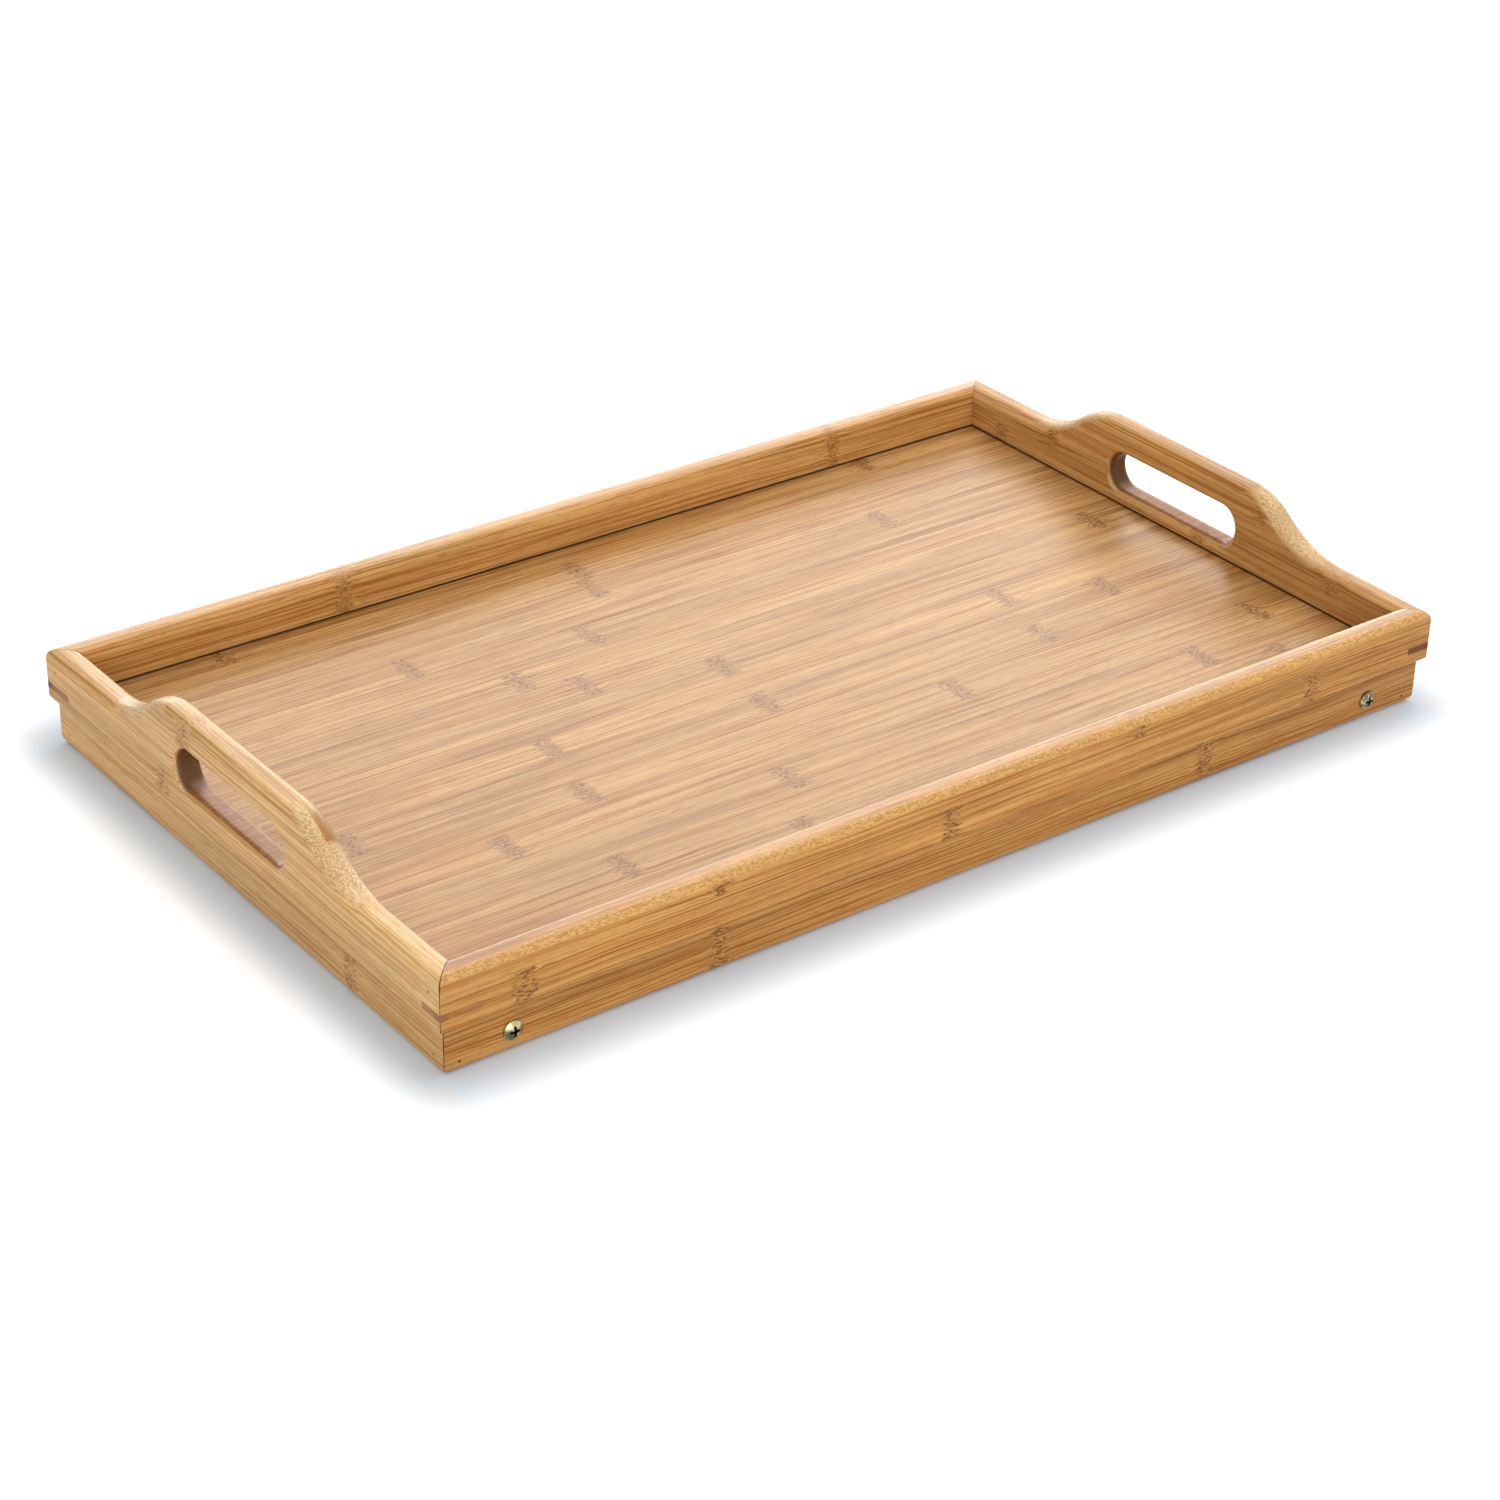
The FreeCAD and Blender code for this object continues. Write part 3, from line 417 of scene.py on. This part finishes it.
tan_key = key_finish("tan_key_bamboo", (0.44, 0.19, 0.05, 1), (0.34, 0.13, 0.03, 1),
                     (0.30, 0.12, 0.03, 1))
brown_key = key_finish("brown_key_bamboo", (0.35, 0.13, 0.025, 1), (0.26, 0.09, 0.015, 1),
                       (0.06, 0.02, 0.01, 1))
dark_key = key_finish("dark_key_bamboo", (0.20, 0.055, 0.01, 1), (0.12, 0.028, 0.006, 1),
                      (0.13, 0.033, 0.008, 1))
for key, slip in (("front_left_key", tan_key), ("back_left_key", brown_key),
                  ("front_right_key", dark_key), ("back_right_key", dark_key)):
    dress(key, slip)

# ---------------------------------------------------------------- the nails
# Headless nails driven through each mitre and set just under the surface, where the lacquer
# has stained them dark.


def metal_finish(name, bright, dull, roughness, patch_size, metallic=1.0, extras=()):
    """Plated steel with faint cloudy patches in its plating."""
    metal = new_finish(name)
    here = add(metal, "ShaderNodeTexCoord").outputs["Object"]
    patches = add(metal, "ShaderNodeTexNoise",
                  {"Vector": here, "Scale": 1 / (patch_size * MM), "Detail": 3.0}).outputs["Fac"]
    scratches = add(metal, "ShaderNodeTexNoise",
                    {"Vector": here, "Scale": 9 / (patch_size * MM), "Detail": 2.0}).outputs["Fac"]
    colour = tone(metal, ease(metal, patches, 0.43, 0.57), bright, dull)
    for extra in extras:
        colour = extra(metal, colour, here)
    bump = add(metal, "ShaderNodeBump", {"Height": scratches, "Strength": 0.15,
                                         "Distance": 0.02 * MM}).outputs[0]
    rough = ease(metal, patches, 0.3, 0.7, roughness, roughness + 0.12)
    shader = add(metal, "ShaderNodeBsdfPrincipled",
                 {"Base Color": colour, "Roughness": rough, "Normal": bump})
    shader.inputs["Metallic"].default_value = metallic
    add(metal, "ShaderNodeOutputMaterial", {"Surface": shader.outputs[0]})
    return metal


nail_steel = metal_finish("stained_nail_steel", (0.10, 0.06, 0.04, 1), (0.04, 0.025, 0.018, 1),
                          0.45, 1.0, metallic=0.6)
dress("corner_brads", nail_steel)

# ---------------------------------------------------------------- the pivot screws
# Four pan head machine screws with a cross recess, in yellow passivated zinc that has gone
# dull and greenish. They carry the leg frames.

screw_x, screw_z = 218.0, 9.5  # each screw's axis, mm
head_dome = 6.1  # radius of the dome on a pan head, mm
recess_reach = 2.3  # from the axis to just past the tips of the cross, mm


def recess_shade(metal, colour, here):
    """Painted shade that turns the cross recess nearly black."""
    apart = add(metal, "ShaderNodeSeparateXYZ", {0: here}).outputs
    along = calc(metal, "SUBTRACT", calc(metal, "ABSOLUTE", apart["X"]), screw_x * MM)
    above = calc(metal, "SUBTRACT", apart["Z"], screw_z * MM)
    off_axis_squared = calc(metal, "ADD", calc(metal, "MULTIPLY", along, along),
                            calc(metal, "MULTIPLY", above, above))
    dome_drop = calc(metal, "MULTIPLY", off_axis_squared, 1 / (2 * head_dome * MM))
    sunk = calc(metal, "SUBTRACT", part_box("pivot_screws")[1].y, calc(metal, "ABSOLUTE", apart["Y"]))
    sunk = calc(metal, "SUBTRACT", sunk, dome_drop)
    by_cross = calc(metal, "LESS_THAN", off_axis_squared, (recess_reach * MM) ** 2)
    # painted shade inside the cross recess, darkest where it sinks deepest
    shaded = calc(metal, "MULTIPLY", by_cross, ease(metal, sunk, 0.1 * MM, 0.25 * MM, 0.0, 0.95))
    return tone(metal, shaded, colour, (0.012, 0.01, 0.006, 1))


yellow_zinc = metal_finish("yellow_zinc", (0.56, 0.50, 0.28, 1), (0.17, 0.15, 0.085, 1), 0.16, 3.5,
                           extras=(recess_shade,))
dress("pivot_screws", yellow_zinc)

# ---------------------------------------------------------------- washers and lock nuts
# Clear zinc plated steel: a washer each side of every leg, and a lock nut that holds the
# joint at the right stiffness.

clear_zinc = metal_finish("clear_zinc", (0.66, 0.68, 0.70, 1), (0.50, 0.52, 0.54, 1), 0.26, 3.0)
for fixing in ("rail_washers", "leg_washers", "pivot_lock_nuts"):
    dress(fixing, clear_zinc)

# ---------------------------------------------------------------- the leg frames
# Each folding frame is two bamboo legs joined by a foot bar and a stretcher, doweled and
# glued. The legs are ripped from two-ply strip, the bars from single strip.

leg_layup = layup((10.5,))  # height of the glue line in a folded leg, mm
bar_layup = layup((-100.0,))  # between the left frame's bars: the stretcher is a strip with no knots
leg_tones = ((0.68, 0.38, 0.12, 1), (0.57, 0.29, 0.075, 1), (0.37, 0.15, 0.035, 1),
             (0.22, 0.08, 0.02, 1))
for side, knot_shift in (("left", 0), ("right", 23)):
    leg_bamboo = bamboo(
        f"{side}_leg_bamboo", "X", "Z", leg_layup,
        [((-95 - knot_shift, 90 + knot_shift), 0.98), ((-140 + knot_shift, 150 - knot_shift), 1.02)],
        leg_tones, 301.0 + knot_shift)
    bar_bamboo = bamboo(
        f"{side}_bar_bamboo", "Y", "X", bar_layup,
        [((), 1.0), ((-70 + knot_shift, 85 - knot_shift), 1.0)],
        leg_tones, 351.0 + knot_shift)
    for leg in ("front_leg", "back_leg"):
        dress(f"{side}_{leg}", leg_bamboo)
    for bar in ("foot_bar", "stretcher"):
        dress(f"{side}_{bar}", bar_bamboo)

# ---------------------------------------------------------------- the dowels
# Plain turned beech dowels inside the leg frames' joints, left unlacquered.

beech = new_finish("beech")
beech_place = grain_place(beech, "Y", "X")
beech_lines = fibre_noise(beech, beech_place, 14.0, 0.7, 3.0, 0.0)
beech_flecks = fibre_noise(beech, beech_place, 1.4, 0.25, 1.0, 4.0)
beech_colour = tone(beech, ease(beech, beech_lines, 0.35, 0.7),
                    (0.64, 0.42, 0.22, 1), (0.50, 0.30, 0.14, 1))
beech_colour = tone(beech, ease(beech, beech_flecks, 0.62, 0.72, 0.0, 0.6),
                    beech_colour, (0.33, 0.17, 0.07, 1))
beech_shader = add(beech, "ShaderNodeBsdfPrincipled",
                   {"Base Color": beech_colour,
                    "Roughness": ease(beech, beech_lines, 0.3, 0.7, 0.5, 0.62)})
add(beech, "ShaderNodeOutputMaterial", {"Surface": beech_shader.outputs[0]})
for side in ("left", "right"):
    dress(f"{side}_frame_dowels", beech)

# ---------------------------------------------------------------- the floor
# A flat sheet of plain white board round the tray. A painted glow, seen by the camera, rises away
# from the tray and keeps the soft shadow close to the wood, and a painted tint keeps that shadow grey.
# It is open where the tray stands, and clear from below, so that the underside can be looked at.

floor_reach = 6.0  # from the middle to the edge, metres
floor_level = -0.05 * MM  # just under the rails' feet
opening_x, opening_y = 243.5, 145.0  # half of the opening, just inside the feet's outer edge, mm
feet_x, feet_y = 247.0, 148.5  # from the middle to just outside the feet, mm
corners = ((-1, -1), (1, -1), (1, 1), (-1, 1))
floor_mesh = bpy.data.meshes.new("floor")
floor_mesh.from_pydata(
    [(x * floor_reach, y * floor_reach, floor_level) for x, y in corners]
    + [(x * opening_x * MM, y * opening_y * MM, floor_level) for x, y in corners],
    [], [(side, (side + 1) % 4, (side + 1) % 4 + 4, side + 4) for side in range(4)])
floor = bpy.data.objects.new("floor", floor_mesh)
bpy.context.scene.collection.objects.link(floor)


def seen_directly(owner):
    """1 for what the camera sees, straight or mirrored, and 0 for light on its way."""
    rays = add(owner, "ShaderNodeLightPath").outputs
    mirrored = calc(owner, "MAXIMUM", rays["Is Glossy Ray"], rays["Is Transmission Ray"])
    return calc(owner, "MAXIMUM", rays["Is Camera Ray"], mirrored)


board = new_finish("white_board")
board_seen = seen_directly(board)
board_x, board_y, _ = grain_place(board, "X", "Y")
off_x = calc(board, "SUBTRACT", calc(board, "ABSOLUTE", board_x), feet_x)
off_y = calc(board, "SUBTRACT", calc(board, "ABSOLUTE", board_y), feet_y)
off_y = calc(board, "MULTIPLY", off_y, 0.78)  # the shadow reaches further from the long sides
off_x = calc(board, "MAXIMUM", off_x, 0.0)
off_y = calc(board, "MAXIMUM", off_y, 0.0)
off_tray = calc(board, "SQRT", calc(board, "ADD", calc(board, "MULTIPLY", off_x, off_x),
                                    calc(board, "MULTIPLY", off_y, off_y)))
cool_tint_share = ease(board, off_tray, 3.0, 34.0, 1.0, 0.0)  # where the wood's tan light reaches it
past_corner = ease(board, calc(board, "MINIMUM", off_x, off_y), 0.0, 3.0, 1.0, 0.4)
cool_tint_share = calc(board, "MULTIPLY", cool_tint_share, past_corner)
# Painted tint: near the wood the board is painted bluish where seen, cancelling the tan light the wood
# throws on it.
board_colour = tone(board, calc(board, "MULTIPLY", board_seen, cool_tint_share),
                    (0.87, 0.87, 0.87, 1), (0.76, 0.87, 0.975, 1))
board_shader = add(board, "ShaderNodeBsdfDiffuse", {"Color": board_colour})
# Painted light: a glow the camera sees, nothing at the tray and full 31 mm out, so the shadow fades
# tightly.
painted_glow = ease(board, off_tray, 1.5, 31.0, 0.0, 0.44)  # burns the board out to plain white
lift = add(board, "ShaderNodeEmission",
           {"Color": (1, 1, 1, 1), "Strength": calc(board, "MULTIPLY", board_seen, painted_glow)})
both = add(board, "ShaderNodeAddShader", {0: board_shader.outputs[0], 1: lift.outputs[0]})
from_below = add(board, "ShaderNodeNewGeometry").outputs["Backfacing"]
clear = add(board, "ShaderNodeBsdfTransparent")
sheet = add(board, "ShaderNodeMixShader",
            {0: from_below, 1: both.outputs[0], 2: clear.outputs[0]})
add(board, "ShaderNodeOutputMaterial", {"Surface": sheet.outputs[0]})
floor_mesh.materials.append(board)

# ---------------------------------------------------------------- the light
# White walls all round, a soft box overhead and one in front, and a broad white bank behind
# whose reflection lies on the lacquer of every face that looks up.

room = bpy.data.worlds.new("white_room")
bpy.context.scene.world = room
room.use_nodes = True
room.node_tree.nodes.clear()
room_level = calc(room, "MULTIPLY_ADD", seen_directly(room), 0.32, 0.68)
room_glow = add(room, "ShaderNodeBackground", {"Color": (1, 1, 1, 1), "Strength": room_level})
add(room, "ShaderNodeOutputWorld", {"Surface": room_glow.outputs[0]})


def soft_box(name, azimuth, elevation, distance, width, height, radiance):
    """A rectangular light aimed at the tray. Azimuth 0 stands in front, and 90 on the right."""
    lamp = bpy.data.lights.new(name, "AREA")
    lamp.shape = "RECTANGLE"
    lamp.size = width
    lamp.size_y = height
    lamp.energy = radiance * math.pi * width * height
    turn, tilt = math.radians(azimuth), math.radians(elevation)
    towards = Vector((math.sin(turn) * math.cos(tilt), -math.cos(turn) * math.cos(tilt),
                      math.sin(tilt)))
    stand = bpy.data.objects.new(name, lamp)
    stand.location = towards * distance
    stand.rotation_mode = "QUATERNION"
    stand.rotation_quaternion = towards.to_track_quat("Z", "Y")
    stand.visible_camera = False
    bpy.context.scene.collection.objects.link(stand)
    return stand


bank = soft_box("bank_behind", 142, 42, 2.2, 3.6, 3.4, 6.2)
bank.visible_diffuse = False
soft_box("overhead", 100, 66, 2.0, 2.0, 1.6, 1.3)
soft_box("front_fill", -25, 15, 2.5, 2.4, 1.2, 2.1)

# ---------------------------------------------------------------- the camera
# Stands in front and to the left, looking down on the tray, as in the photograph.

camera_azimuth = math.radians(-37.359)
camera_elevation = math.radians(29.551)
camera_roll = math.radians(1.334)
camera_target = Vector((-14.992, -20.426, 0)) * MM
camera_distance = 1445.548 * MM
camera_back = Vector((math.sin(camera_azimuth) * math.cos(camera_elevation),
                      -math.cos(camera_azimuth) * math.cos(camera_elevation),
                      math.sin(camera_elevation)))
level_right = (-camera_back).cross(Vector((0, 0, 1))).normalized()
level_up = level_right.cross(-camera_back)
right = math.cos(camera_roll) * level_right + math.sin(camera_roll) * level_up
up = -math.sin(camera_roll) * level_right + math.cos(camera_roll) * level_up

eye = bpy.data.cameras.new("camera")
eye.sensor_width = 36.0
eye.lens = 82.725
eye.clip_start = 0.05
eye.clip_end = 30.0
camera = bpy.data.objects.new("camera", eye)
camera.matrix_world = Matrix.Translation(camera_target + camera_back * camera_distance) @ Matrix(
    (right, up, camera_back)).transposed().to_4x4()
bpy.context.scene.collection.objects.link(camera)
bpy.context.scene.camera = camera
bpy.context.scene.view_settings.view_transform = "Standard"
